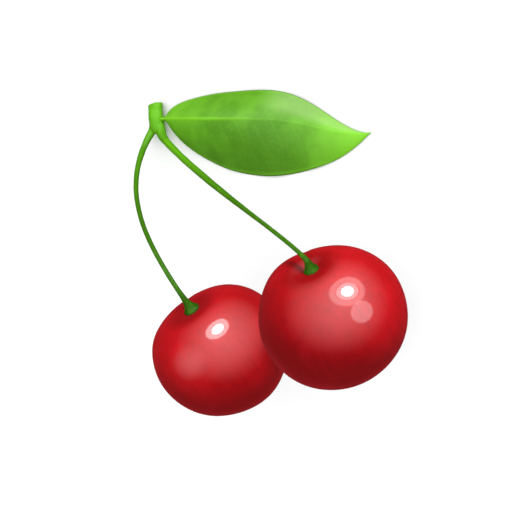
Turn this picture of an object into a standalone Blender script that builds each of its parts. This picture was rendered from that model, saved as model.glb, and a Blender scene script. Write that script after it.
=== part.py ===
"""A pair of sweet cherries on their stalks, joined at a short woody spur that carries one leaf.

The pair lies as picked on a flat surface at z = 0. The two fruits rest side by side, their stalks
rise from the dimples, arch over and come down to the spur, which lies on the surface with the leaf.
X runs along the leaf, Y from the fruits towards the spur, and Z is up. Lengths are in metres.
"""

import math
from collections import namedtuple

import bmesh
import bpy
from mathutils import Matrix, Vector
from mathutils.geometry import interpolate_bezier

Fruit = namedtuple(
    "Fruit",
    "half_width crown base fullness dimple_depth dimple_radius lean heading",
)
Stalk = namedtuple(
    "Stalk",
    "foot_radius shaft_radius fork_radius launch arrive splay rise",
)

# Fruits: crown and base are measured from the widest level, along the stalk axis, to the shoulder
# and to the blossom end. A fullness of 1 is a plain ellipsoid, and less than 1 is squarer.
# The stalk axis leans up from the horizontal, and its heading turns from +Y towards +X.
LEFT_FRUIT = Fruit(
    half_width=0.01165,
    crown=0.0097,
    base=0.0109,
    fullness=0.87,
    dimple_depth=0.0010,
    dimple_radius=0.0034,
    lean=math.radians(41),
    heading=math.radians(-12.5),
)
RIGHT_FRUIT = Fruit(
    half_width=0.01235,
    crown=0.0108,
    base=0.0116,
    fullness=0.89,
    dimple_depth=0.0011,
    dimple_radius=0.0036,
    lean=math.radians(40),
    heading=math.radians(0),
)
REST_SAG = 0.00018            # how far each fruit flattens where it rests
PAIR_HEADING = math.radians(13.6)   # direction from the left fruit to the right one, from +X to +Y

# Stalks: launch and arrive are the lengths of the curve's handles at the fruit and at the spur.
# At the spur a stalk splays sideways from the spur's own line and rises from the surface.
LEFT_STALK = Stalk(
    foot_radius=0.00138,
    shaft_radius=0.00041,
    fork_radius=0.00070,
    launch=0.0124,
    arrive=0.0115,
    splay=math.radians(19.5),
    rise=math.radians(30),
)
RIGHT_STALK = Stalk(
    foot_radius=0.00130,
    shaft_radius=0.00036,
    fork_radius=0.00082,
    launch=0.0033,
    arrive=0.0043,
    splay=math.radians(29.3),
    rise=math.radians(27),
)
FOOT_FLARE = 0.0010           # distance over which a stalk's foot narrows
FOOT_NECK = 0.0016            # straight stretch of a stalk at its foot
FORK_TAPER = 0.0060           # distance over which a stalk's fork end narrows

# Spur: a short oval stem from the fork, where both stalks leave it, to its cut end.
SPUR_PLACE = Vector((-0.0209, 0.0381))   # middle of the fork end, from the left fruit's middle
SPUR_LENGTH = 0.0046
SPUR_FORK_RADIUS = 0.00162
SPUR_NECK_RADIUS = 0.00096
SPUR_CUT_RADIUS = 0.00112
SPUR_OVALNESS = 1.28          # width over height
SPUR_HEADING = math.radians(-5)
FORK_SPREAD = 0.00075         # from the spur's own line to the nearer side of each stalk's end

# Leaf: an arched blade whose midrib is its ridge and whose margins droop to the surface.
LEAF_LENGTH = 0.0423
LEAF_FAR_WIDTH = 0.0052       # from the midrib to the margin away from the fruits
LEAF_NEAR_WIDTH = 0.0097      # from the midrib to the margin nearer the fruits
LEAF_THICKNESS = 0.0005
LEAF_CROWN = 0.0030           # rise of the midrib above a straight line from base to tip
LEAF_HEADING = math.radians(-2.0)
LEAF_STATION = 0.40           # where the leaf leaves the spur, as a share of the spur from its fork
LEAF_STEM_HALF_WIDTH = 0.00045
LEAF_TIP_HALF_WIDTH = 0.00016
TIP_SWEEP = 0.0023            # sideways bow of the midrib just before the tip
TIP_SWEEP_PLACE = 0.93        # where along the blade that bow is greatest
TIP_SWEEP_SPREAD = 0.22

JOINT_GAP = 0.0003            # space kept between neighbouring solids
FRUIT_SEGMENTS = 48
FRUIT_RINGS = 26
NECK_STEPS = 4
STALK_STEPS = 28
SPUR_STEPS = 10
LEAF_STEPS = 28
LEAF_RIBS = 10


def clear_scene():
    for obj in list(bpy.data.objects):
        bpy.data.objects.remove(obj, do_unlink=True)


def make_material(name, colour, roughness, coat=0.0):
    material = bpy.data.materials.new(name)
    material.use_nodes = True
    shader = material.node_tree.nodes["Principled BSDF"]
    shader.inputs["Base Color"].default_value = (*colour, 1.0)
    shader.inputs["Roughness"].default_value = roughness
    shader.inputs["Metallic"].default_value = 0.0
    shader.inputs["Coat Weight"].default_value = coat
    return material


def add_object(name, data, material, collection):
    obj = bpy.data.objects.new(name, data)
    data.materials.append(material)
    collection.objects.link(obj)
    return obj


def heading_vector(heading, rise=0.0):
    """The unit direction that turns from +Y towards +X by heading and climbs by rise."""
    level = math.cos(rise)
    return Vector((level * math.sin(heading), level * math.cos(heading), math.sin(rise)))


def stalk_axis(fruit):
    return heading_vector(fruit.heading, fruit.lean)


def fruit_profile(fruit, across, along):
    """(radius, height) on the fruit's own axis for a point of the unit sphere."""
    radius = fruit.half_width * across ** fruit.fullness
    if along < 0:
        return radius, fruit.base * along
    dimple = fruit.dimple_depth * math.exp(-((radius / fruit.dimple_radius) ** 2))
    return radius, fruit.crown * along - dimple


def fruit_shape(fruit):
    """A closed bmesh of the fruit around the origin, its stalk axis already leaning."""
    shape = bmesh.new()
    bmesh.ops.create_uvsphere(
        shape, u_segments=FRUIT_SEGMENTS, v_segments=FRUIT_RINGS, radius=1.0
    )
    for vertex in shape.verts:
        across = min(1.0, math.hypot(vertex.co.x, vertex.co.y))
        radius, height = fruit_profile(fruit, across, vertex.co.z)
        if across > 1e-6:
            vertex.co.x *= radius / across
            vertex.co.y *= radius / across
        vertex.co.z = height
    lean = Vector((0.0, 0.0, 1.0)).rotation_difference(stalk_axis(fruit))
    bmesh.ops.rotate(shape, verts=shape.verts, matrix=lean.to_matrix())
    return shape


def flatten_underside(shape):
    """Cuts the resting flat and returns its height below the fruit's middle."""
    floor = min(vertex.co.z for vertex in shape.verts) + REST_SAG
    geometry = shape.verts[:] + shape.edges[:] + shape.faces[:]
    cut = bmesh.ops.bisect_plane(
        shape,
        geom=geometry,
        dist=REST_SAG / 2000,
        plane_co=(0.0, 0.0, floor),
        plane_no=(0.0, 0.0, -1.0),
        clear_outer=True,
    )
    rim = [item for item in cut["geom_cut"] if isinstance(item, bmesh.types.BMEdge)]
    bmesh.ops.contextual_create(shape, geom=rim)
    bmesh.ops.recalc_face_normals(shape, faces=shape.faces)
    return floor


def reach(shape, direction):
    return max(vertex.co.dot(direction) for vertex in shape.verts)


def add_fruit(name, shape, middle, material, collection):
    mesh = bpy.data.meshes.new(name)
    shape.to_mesh(mesh)
    shape.free()
    mesh.shade_smooth()
    mesh.set_sharp_from_angle(angle=math.radians(30))
    obj = add_object(name, mesh, material, collection)
    obj.location = middle
    return obj


def add_fruits(collection):
    """Both cherries, cheek to cheek on the surface, and the middle of each."""
    skin = make_material("cherry_skin", (0.42, 0.012, 0.018), 0.22, coat=0.6)
    left = fruit_shape(LEFT_FRUIT)
    right = fruit_shape(RIGHT_FRUIT)
    left_middle = Vector((0.0, 0.0, -flatten_underside(left)))
    right_height = -flatten_underside(right)
    towards = Vector((math.cos(PAIR_HEADING), math.sin(PAIR_HEADING), 0.0))
    apart = reach(left, towards) + JOINT_GAP + reach(right, -towards)
    right_middle = towards * apart + Vector((0.0, 0.0, right_height))
    add_fruit("left_cherry", left, left_middle, skin, collection)
    add_fruit("right_cherry", right, right_middle, skin, collection)
    return left_middle, right_middle


def stalk_seat(fruit, middle, foot_radius):
    """The middle of the stalk's foot, a joint gap above the dimple floor under the foot."""
    steps = 40
    under_foot = []
    for step in range(steps):
        polar = 0.5 * math.pi * step / steps
        radius, height = fruit_profile(fruit, math.sin(polar), math.cos(polar))
        if radius <= foot_radius + JOINT_GAP:
            under_foot.append(height)
    return middle + stalk_axis(fruit) * (max(under_foot) + JOINT_GAP)


def make_tube(name, route, radii, sides_level):
    """A round bar along the route with its own radius at each point and closed ends."""
    curve = bpy.data.curves.new(name, "CURVE")
    curve.dimensions = "3D"
    curve.bevel_depth = 1.0
    curve.bevel_resolution = sides_level
    curve.use_fill_caps = True
    spline = curve.splines.new("POLY")
    spline.points.add(len(route) - 1)
    for point, place, radius in zip(spline.points, route, radii):
        point.co = (*place, 1.0)
        point.radius = radius
    spline.use_smooth = True
    return curve


def distances_along(route):
    walked = [0.0]
    for start, end in zip(route, route[1:]):
        walked.append(walked[-1] + (end - start).length)
    return walked


def stalk_radius(stalk, from_foot, from_fork):
    flare = (stalk.foot_radius - stalk.shaft_radius) * math.exp(-from_foot / FOOT_FLARE)
    taper = (stalk.fork_radius - stalk.shaft_radius) * math.exp(-from_fork / FORK_TAPER)
    return stalk.shaft_radius + flare + taper


def add_stalk(name, stalk, fruit, middle, side, material, collection):
    axis = stalk_axis(fruit)
    foot = stalk_seat(fruit, middle, stalk.foot_radius)
    neck_end = foot + axis * FOOT_NECK
    launch = neck_end + axis * stalk.launch
    fork_end, outward = fork_end_of(stalk, side)
    arrive = fork_end + outward * stalk.arrive
    neck = [foot.lerp(neck_end, step / NECK_STEPS) for step in range(NECK_STEPS)]
    route = neck + interpolate_bezier(neck_end, launch, arrive, fork_end, STALK_STEPS)
    walked = distances_along(route)
    radii = [stalk_radius(stalk, here, walked[-1] - here) for here in walked]
    add_object(name, make_tube(name, route, radii, 4), material, collection)


def spur_points():
    """The middle of the spur's fork end and of its cut end, each resting on the surface."""
    along = heading_vector(SPUR_HEADING)
    fork = Vector((*SPUR_PLACE, SPUR_FORK_RADIUS))
    cut = fork + along * SPUR_LENGTH
    cut.z = SPUR_CUT_RADIUS
    return fork, cut


def spur_radius(share):
    """Wide at the fork, narrow at the neck and a little wider at the cut end."""
    towards_fork = (SPUR_FORK_RADIUS - SPUR_NECK_RADIUS) * (1.0 - share) ** 2
    towards_cut = (SPUR_CUT_RADIUS - SPUR_NECK_RADIUS) * share ** 4
    return SPUR_NECK_RADIUS + towards_fork + towards_cut


def add_spur(material, collection):
    fork, cut = spur_points()
    shares = [step / SPUR_STEPS for step in range(SPUR_STEPS + 1)]
    route = [(cut - fork) * share for share in shares]
    radii = [spur_radius(share) for share in shares]
    spur = add_object("spur", make_tube("spur", route, radii, 4), material, collection)
    spur.location = fork
    spur.scale = (SPUR_OVALNESS, 1.0, 1.0)


def fork_end_of(stalk, side):
    """Where a stalk meets the spur's fork end, and its direction there. Side is -1 on the left."""
    spur_line = heading_vector(SPUR_HEADING)
    outward = heading_vector(SPUR_HEADING + math.pi - side * stalk.splay, stalk.rise)
    tilt = outward.angle(-spur_line)
    clear = JOINT_GAP + stalk.fork_radius * math.sin(tilt)
    across = Vector((spur_line.y, -spur_line.x, 0.0))
    sideways = side * (FORK_SPREAD + stalk.fork_radius)
    return spur_points()[0] - spur_line * clear + across * sideways, outward


def add_stalks(left_middle, right_middle, collection):
    green = make_material("stalk_green", (0.10, 0.33, 0.015), 0.45)
    add_stalk("left_stalk", LEFT_STALK, LEFT_FRUIT, left_middle, -1, green, collection)
    add_stalk("right_stalk", RIGHT_STALK, RIGHT_FRUIT, right_middle, 1, green, collection)
    add_spur(green, collection)


def blade_half_width(along, side):
    """Half width of the blade: side is +1 away from the fruits and -1 towards them."""
    if side > 0:
        widest, base_power, tip_power = LEAF_FAR_WIDTH, 0.36, 1.35
    else:
        widest, base_power, tip_power = LEAF_NEAR_WIDTH, 0.62, 0.95
    power = base_power if along < 0.5 else tip_power
    least = LEAF_STEM_HALF_WIDTH * (1.0 - along) + LEAF_TIP_HALF_WIDTH * along
    return max(least, widest * max(0.0, math.sin(math.pi * along)) ** power)


def midrib_bow(along):
    distance = (along - TIP_SWEEP_PLACE) / TIP_SWEEP_SPREAD
    return -TIP_SWEEP * math.exp(-distance * distance)


def blade_height(along, across, stem_height):
    """Height of the blade's underside: a ridge at the midrib that falls to the margins."""
    midrib = stem_height * (1.0 - along) + LEAF_CROWN * math.sin(math.pi * along ** 0.85)
    margin = 0.6 * stem_height * (1.0 - along) ** 6
    return margin + (midrib - margin) * (1.0 - abs(across) ** 1.7)


def add_leaf(collection):
    fork, cut = spur_points()
    station = fork.lerp(cut, LEAF_STATION)
    spur_half_width = spur_radius(0.3 * LEAF_STATION) * SPUR_OVALNESS
    stem_height = station.z - 0.5 * LEAF_THICKNESS
    sheet = bmesh.new()
    bmesh.ops.create_grid(sheet, x_segments=LEAF_STEPS, y_segments=LEAF_RIBS, size=1.0)
    for vertex in sheet.verts:
        along = 0.5 * (vertex.co.x + 1.0)
        across = vertex.co.y
        half_width = blade_half_width(along, math.copysign(1.0, across))
        vertex.co.x = along * LEAF_LENGTH
        vertex.co.y = across * half_width + midrib_bow(along)
        vertex.co.z = blade_height(along, across, stem_height)
    turn = Matrix.Rotation(LEAF_HEADING, 3, "Z")
    bmesh.ops.rotate(sheet, verts=sheet.verts, matrix=turn)
    mesh = bpy.data.meshes.new("leaf")
    sheet.to_mesh(mesh)
    sheet.free()
    mesh.shade_smooth()
    green = make_material("leaf_green", (0.13, 0.38, 0.02), 0.38)
    leaf = add_object("leaf", mesh, green, collection)
    leaf.location = (station.x + spur_half_width + JOINT_GAP, station.y, 0.0)
    blade = leaf.modifiers.new("blade_thickness", "SOLIDIFY")
    blade.thickness = LEAF_THICKNESS
    blade.offset = 1.0


def world_corners(objects):
    """The lowest and the highest corner of the objects' evaluated meshes."""
    bpy.context.view_layer.update()
    graph = bpy.context.evaluated_depsgraph_get()
    points = []
    for obj in objects:
        evaluated = obj.evaluated_get(graph)
        mesh = evaluated.to_mesh()
        points += [evaluated.matrix_world @ vertex.co for vertex in mesh.vertices]
        evaluated.to_mesh_clear()
    low = Vector([min(point[axis] for point in points) for axis in range(3)])
    high = Vector([max(point[axis] for point in points) for axis in range(3)])
    return low, high


def centre_over_origin(collection):
    """Puts the middle of the underside at the origin, by moving an empty that holds every piece."""
    pieces = list(collection.objects)
    low, high = world_corners(pieces)
    holder = bpy.data.objects.new("cherries_origin", None)
    collection.objects.link(holder)
    for piece in pieces:
        piece.parent = holder
    middle = 0.5 * (low + high)
    holder.location = (-middle.x, -middle.y, -low.z)
    bpy.context.view_layer.update()


def main():
    clear_scene()
    collection = bpy.data.collections.new("cherries_on_stalks")
    bpy.context.scene.collection.children.link(collection)
    left_middle, right_middle = add_fruits(collection)
    add_stalks(left_middle, right_middle, collection)
    add_leaf(collection)
    centre_over_origin(collection)


main()
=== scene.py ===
"""The looks of a pair of sweet cherries on their stalks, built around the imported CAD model.

Every piece starts from the formulas and sizes of its CAD solid and takes its place from the frame.
It adds a finer mesh, the surface detail of the real thing, and small changes of outline that follow
the picture. Lengths are in metres.
"""

import math
from collections import namedtuple

import bmesh
import bpy
from mathutils import Matrix, Vector, noise
from mathutils.geometry import interpolate_bezier


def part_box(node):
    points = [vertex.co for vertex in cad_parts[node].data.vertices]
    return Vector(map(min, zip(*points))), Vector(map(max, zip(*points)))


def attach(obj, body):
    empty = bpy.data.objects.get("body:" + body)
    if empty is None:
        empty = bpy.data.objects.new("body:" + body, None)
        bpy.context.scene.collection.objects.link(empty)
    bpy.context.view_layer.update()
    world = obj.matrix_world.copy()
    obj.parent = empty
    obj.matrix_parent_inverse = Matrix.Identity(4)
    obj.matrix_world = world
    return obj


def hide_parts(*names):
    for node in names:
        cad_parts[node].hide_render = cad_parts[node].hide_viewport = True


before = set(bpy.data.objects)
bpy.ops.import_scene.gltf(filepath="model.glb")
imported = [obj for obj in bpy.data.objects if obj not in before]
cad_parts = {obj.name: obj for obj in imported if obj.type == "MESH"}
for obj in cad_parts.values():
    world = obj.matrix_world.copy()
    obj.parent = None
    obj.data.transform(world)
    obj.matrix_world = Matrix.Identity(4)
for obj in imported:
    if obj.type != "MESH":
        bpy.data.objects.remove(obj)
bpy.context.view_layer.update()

MM = 0.001
TURN = 2.0 * math.pi

# -------- sizes

# These are the CAD solids' own values, but for a stalk's belly, bow and tuck, which the solids
# don't have, and the leaf's tip, which is finer here.

Fruit = namedtuple(
    "Fruit",
    "half_width crown base fullness dimple_depth dimple_radius lean heading",
)
Stalk = namedtuple(
    "Stalk",
    "foot_radius shaft_radius fork_radius launch arrive splay rise belly bow tuck",
)

LEFT_FRUIT = Fruit(
    half_width=11.65 * MM,
    crown=9.7 * MM,
    base=10.9 * MM,
    fullness=0.87,
    dimple_depth=1.0 * MM,
    dimple_radius=3.4 * MM,
    lean=math.radians(41),
    heading=math.radians(-12.5),
)
RIGHT_FRUIT = Fruit(
    half_width=12.35 * MM,
    crown=10.8 * MM,
    base=11.6 * MM,
    fullness=0.89,
    dimple_depth=1.1 * MM,
    dimple_radius=3.6 * MM,
    lean=math.radians(40),
    heading=math.radians(0),
)
LEFT_STALK = Stalk(
    foot_radius=1.38 * MM,
    shaft_radius=0.41 * MM,
    fork_radius=0.70 * MM,
    launch=12.4 * MM,
    arrive=11.5 * MM,
    splay=math.radians(19.5),
    rise=math.radians(30),
    belly=0.0,
    bow=Vector((-0.28 * MM, 0.0, 0.0)),
    tuck=0.15 * MM,
)
RIGHT_STALK = Stalk(
    foot_radius=1.30 * MM,
    shaft_radius=0.36 * MM,
    fork_radius=0.82 * MM,
    launch=3.3 * MM,
    arrive=4.3 * MM,
    splay=math.radians(29.3),
    rise=math.radians(27),
    belly=0.20 * MM,
    bow=Vector((-0.20 * MM, -0.20 * MM, 0.0)),
    tuck=0.40 * MM,
)
BELLY_PLACE = 0.68  # where a stalk is fullest, as a share of the way to the fork
BELLY_SPREAD = 0.26
BOW_PLACE = 0.55  # and where it bows furthest from its CAD line
BOW_SPREAD = 0.25
FOOT_FLARE = 1.0 * MM  # distance over which a stalk's foot narrows
FOOT_NECK = 1.6 * MM  # straight stretch of a stalk at its foot
FORK_TAPER = 6.0 * MM  # distance over which a stalk's fork end narrows
SPUR_PLACE = Vector((-20.9 * MM, 38.1 * MM))  # its fork end, from the left fruit's middle
SPUR_LENGTH = 4.6 * MM
SPUR_FORK_RADIUS = 1.62 * MM
SPUR_NECK_RADIUS = 0.96 * MM
SPUR_CUT_RADIUS = 1.12 * MM
SPUR_OVALNESS = 1.28  # width over height
SPUR_HEADING = math.radians(-5)
FORK_SPREAD = 0.75 * MM  # from the spur's own line to the nearer side of a stalk's end
LEAF_LENGTH = 42.3 * MM
LEAF_FAR_WIDTH = 5.2 * MM  # from the midrib to the margin away from the fruits
LEAF_NEAR_WIDTH = 9.7 * MM  # from the midrib to the margin nearer the fruits
LEAF_CROWN = 3.0 * MM  # rise of the midrib above a straight line from base to tip
LEAF_HEADING = math.radians(-2)
LEAF_STATION = 0.40  # where the leaf leaves the spur, as a share of it from the fork
LEAF_STEM_HALF_WIDTH = 0.45 * MM
LEAF_TIP_HALF_WIDTH = 0.10 * MM
TIP_SWEEP = 2.3 * MM  # sideways bow of the midrib just before the tip
TIP_SWEEP_PLACE = 0.93  # where along the blade that bow is greatest
TIP_SWEEP_SPREAD = 0.22
CAD_GAP = 0.3 * MM  # space between neighbouring CAD solids


# -------- small helpers


def srgb(red, green, blue):
    """A screen colour of 0 to 255 as the linear colour that a shader takes."""
    linear = []
    for value in (red, green, blue):
        share = value / 255.0
        low = share / 12.92
        high = ((share + 0.055) / 1.055) ** 2.4
        linear.append(low if share <= 0.04045 else high)
    return (*linear, 1.0)


def heading_vector(heading, rise=0.0):
    """The unit direction that turns from +Y towards +X by heading and climbs by rise."""
    level = math.cos(rise)
    return Vector((level * math.sin(heading), level * math.cos(heading), math.sin(rise)))


def smooth_step(low, high, value):
    """0 at low and 1 at high, smooth between them, whichever is the larger."""
    share = min(1.0, max(0.0, (value - low) / (high - low)))
    return share * share * (3.0 - 2.0 * share)


def bell(distance, spread):
    """1 at no distance, falling smoothly to 0 over a few times the spread."""
    return math.exp(-((distance / spread) ** 2))


def box_middle(points):
    """The middle of the upright box round the points."""
    low = Vector([min(point[axis] for point in points) for axis in range(3)])
    high = Vector([max(point[axis] for point in points) for axis in range(3)])
    return 0.5 * (low + high)


def add_object(name, data):
    made = bpy.data.objects.new(name, data)
    bpy.context.scene.collection.objects.link(made)
    return made


def finish_piece(shape, name, materials, nodes):
    """Turns a bmesh into a smooth piece that rides on the body and stands for its CAD nodes."""
    mesh = bpy.data.meshes.new(name)
    bmesh.ops.recalc_face_normals(shape, faces=shape.faces)
    shape.to_mesh(mesh)
    shape.free()
    mesh.shade_smooth()
    for material in materials:
        mesh.materials.append(material)
    piece = add_object(name, mesh)
    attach(piece, "root")
    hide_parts(*nodes)
    return piece


# -------- shader node helpers

SPOT_CORE = 0.55  # the share of a spot's radius that is fully inside it


class Graph:
    """The nodes of a material, a lamp or the world, with short ways to add to them."""

    def __init__(self, owner):
        owner.use_nodes = True
        self.tree = owner.node_tree

    def node(self, kind, inputs=None, **settings):
        made = self.tree.nodes.new(kind)
        for key, value in settings.items():
            setattr(made, key, value)
        for key, value in (inputs or {}).items():
            self.feed(made.inputs[key], value)
        return made

    def feed(self, socket, value):
        if isinstance(value, bpy.types.NodeSocket):
            self.tree.links.new(value, socket)
        else:
            socket.default_value = value

    def ramp(self, value, low, high):
        """0 at low and 1 at high, smooth between them, whichever is the larger."""
        ends = (low, high, 0.0, 1.0) if low < high else (high, low, 1.0, 0.0)
        mapped = self.node("ShaderNodeMapRange", {"Value": value}, interpolation_type="SMOOTHSTEP")
        for key, end in zip(("From Min", "From Max", "To Min", "To Max"), ends):
            mapped.inputs[key].default_value = end
        return mapped.outputs["Result"]

    def stretched(self, value, low, high):
        """A value of 0 to 1 as one from low to high."""
        inputs = {"Value": value, "To Min": low, "To Max": high}
        return self.node("ShaderNodeMapRange", inputs).outputs["Result"]

    def math(self, operation, first, second):
        inputs = {0: first, 1: second}
        return self.node("ShaderNodeMath", inputs, operation=operation).outputs["Value"]


class Shading(Graph):
    """A material with a Principled shader, and short ways to add the nodes that drive it."""

    def __init__(self, name, **constants):
        self.material = bpy.data.materials.new(name)
        super().__init__(self.material)
        self.shader = self.tree.nodes["Principled BSDF"]
        self.place = self.node("ShaderNodeTexCoord").outputs["Object"]
        for socket, value in constants.items():
            self.shader.inputs[socket.replace("_", " ")].default_value = value

    def attribute(self, name):
        return self.node("ShaderNodeAttribute", attribute_name=name).outputs["Fac"]

    def turn_place(self, turn):
        """Measures the piece's coordinates along the turned axes from here on."""
        euler = turn.transposed().to_euler("XYZ")
        mapping = self.node("ShaderNodeMapping", {"Vector": self.place, "Rotation": euler})
        self.place = mapping.outputs["Vector"]

    def object_place(self, stretch=(1.0, 1.0, 1.0)):
        """The piece's own coordinates in metres, stretched along each axis."""
        mapping = self.node("ShaderNodeMapping", {"Vector": self.place, "Scale": stretch})
        return mapping.outputs["Vector"]

    def noise(self, size, detail=2.0, stretch=(1.0, 1.0, 1.0)):
        """A soft noise, with features of about this size in metres."""
        inputs = {"Vector": self.object_place(stretch), "Scale": 1.0 / size, "Detail": detail}
        return self.node("ShaderNodeTexNoise", inputs).outputs["Fac"]

    def spots(self, spacing, radius):
        """1 inside round spots of this radius, scattered at about this spacing."""
        inputs = {"Vector": self.object_place(), "Scale": 1.0 / spacing, "Randomness": 1.0}
        texture = self.node("ShaderNodeTexVoronoi", inputs)
        share = radius / spacing
        return self.ramp(texture.outputs["Distance"], share, SPOT_CORE * share)

    def mix(self, share, first, second):
        inputs = {"Factor": share, 6: first, 7: second}
        return self.node("ShaderNodeMix", inputs, data_type="RGBA").outputs[2]

    def tint(self, colour, mask, strength, paint):
        """The colour, with paint over it where the mask is, up to this strength."""
        return self.mix(self.math("MULTIPLY", mask, strength), colour, paint)

    def bump(self, height, depth, normal=None):
        inputs = {"Height": height, "Distance": depth, "Strength": 1.0}
        if normal is not None:
            inputs["Normal"] = normal
        return self.node("ShaderNodeBump", inputs).outputs["Normal"]

    def drive(self, socket, value):
        self.tree.links.new(value, self.shader.inputs[socket])


# -------- materials


def cherry_skin(name, turn):
    """Deep red skin: paler cheeks, painted shade round the dimple, faint streaks and pores, and a
    wet gloss.
    """
    skin = Shading(
        name,
        IOR=1.45,
        Specular_IOR_Level=0.12,
        Coat_Weight=1.0,
        Coat_Roughness=0.05,
        Coat_IOR=1.5,
    )
    skin.turn_place(turn)
    polar = skin.attribute("polar")
    cheek = skin.ramp(skin.noise(9 * MM, 2.0), 0.35, 0.68)
    colour = skin.mix(cheek, srgb(202, 7, 18), srgb(220, 13, 26))
    streak = skin.ramp(skin.noise(1.1 * MM, 3.0, (1.0, 1.0, 0.16)), 0.45, 0.75)
    colour = skin.tint(colour, streak, 0.30, srgb(172, 2, 12))
    blush = skin.ramp(skin.noise(3.2 * MM, 3.0), 0.52, 0.75)
    colour = skin.tint(colour, blush, 0.25, srgb(232, 26, 36))
    pore = skin.spots(1.15 * MM, 0.13 * MM)
    colour = skin.tint(colour, pore, 0.20, srgb(236, 80, 70))
    colour = skin.tint(colour, skin.attribute("seam"), 0.45, srgb(140, 2, 10))
    # Painted shade: the skin darkens towards the stalk's dimple.
    colour = skin.tint(colour, skin.ramp(polar, 0.90, 0.985), 0.65, srgb(146, 0, 4))
    scar = skin.ramp(polar, -0.9968, -0.9990)
    colour = skin.mix(scar, colour, srgb(126, 84, 46))
    skin.drive("Base Color", colour)
    skin.drive("Roughness", skin.stretched(skin.noise(0.8 * MM, 3.0), 0.42, 0.54))
    pitted = skin.bump(skin.noise(0.45 * MM, 2.0), 0.010 * MM)
    skin.drive("Normal", skin.bump(pore, -0.006 * MM, pitted))
    return skin.material


def stalk_skin(name, lower, upper):
    """Fresh green bark: dark at the fruit with painted shade on the foot in the dimple, paler
    towards the fork, finely ridged lengthwise, with painted shade in the furrows.
    """
    bark = Shading(name, IOR=1.45, Specular_IOR_Level=0.12, Coat_Weight=0.03, Coat_Roughness=0.30)
    along = bark.attribute("along")
    # Painted shade: the foot is darkest where it sits in the fruit's dimple.
    colour = bark.mix(bark.ramp(along, 0.0, 0.12), srgb(40, 88, 1), lower)
    colour = bark.mix(bark.ramp(along, 0.40, 0.95), colour, upper)
    # Painted shade in the furrows between the ridges.
    colour = bark.tint(colour, bark.attribute("furrow"), 0.35, srgb(52, 100, 6))
    blotch = bark.ramp(bark.noise(1.4 * MM, 3.0), 0.50, 0.72)
    colour = bark.tint(colour, blotch, 0.25, srgb(108, 174, 26))
    fleck = bark.spots(0.8 * MM, 0.10 * MM)
    colour = bark.tint(colour, fleck, 0.30, srgb(158, 186, 70))
    bark.drive("Base Color", colour)
    bark.drive("Roughness", bark.stretched(bark.noise(0.6 * MM, 2.0), 0.38, 0.54))
    bark.drive("Normal", bark.bump(bark.noise(0.30 * MM, 3.0), 0.020 * MM))
    return bark.material


def spur_bark(name):
    """Paler green stem, with a fibrous cut end."""
    bark = Shading(name, IOR=1.45, Specular_IOR_Level=0.2, Coat_Weight=0.05, Coat_Roughness=0.30)
    along = bark.attribute("along")
    colour = bark.mix(bark.ramp(along, -0.7, 0.6), srgb(84, 152, 14), srgb(106, 188, 24))
    blotch = bark.ramp(bark.noise(0.9 * MM, 3.0), 0.48, 0.72)
    colour = bark.tint(colour, blotch, 0.30, srgb(84, 152, 16))
    fleck = bark.spots(0.75 * MM, 0.10 * MM)
    colour = bark.tint(colour, fleck, 0.30, srgb(166, 200, 84))
    cut = bark.attribute("cut")
    fibre = bark.ramp(bark.noise(0.22 * MM, 2.0), 0.40, 0.62)
    wood = bark.mix(fibre, srgb(170, 200, 104), srgb(206, 222, 150))
    colour = bark.mix(cut, colour, wood)
    bark.drive("Base Color", colour)
    bark.drive("Roughness", bark.stretched(cut, 0.42, 0.75))
    bark.drive("Normal", bark.bump(bark.noise(0.30 * MM, 3.0), 0.030 * MM))
    return bark.material


LEAF_TOP = {
    "blade": srgb(104, 176, 34),
    "deep": srgb(88, 156, 22),
    # painted shade for the middle of the near half
    "shade": srgb(78, 140, 18),
    "lime": srgb(136, 224, 40),
    # painted sheen: a whitish gleam towards the far margin
    "painted_sheen": srgb(206, 238, 166),
    "vein": srgb(120, 192, 44),
    "rib": srgb(126, 208, 34),
    "rough": (0.36, 0.48),
    "coat": 0.22,
}
LEAF_UNDERSIDE = {
    "blade": srgb(134, 186, 84),
    # painted shade for the middle of the near half
    "deep": srgb(118, 172, 68),
    "shade": srgb(112, 164, 64),
    "lime": srgb(152, 208, 92),
    # painted sheen: a whitish gleam towards the far margin
    "painted_sheen": srgb(176, 220, 130),
    "vein": srgb(164, 208, 110),
    "rib": srgb(174, 218, 114),
    "rough": (0.55, 0.70),
    "coat": 0.0,
}


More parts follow.
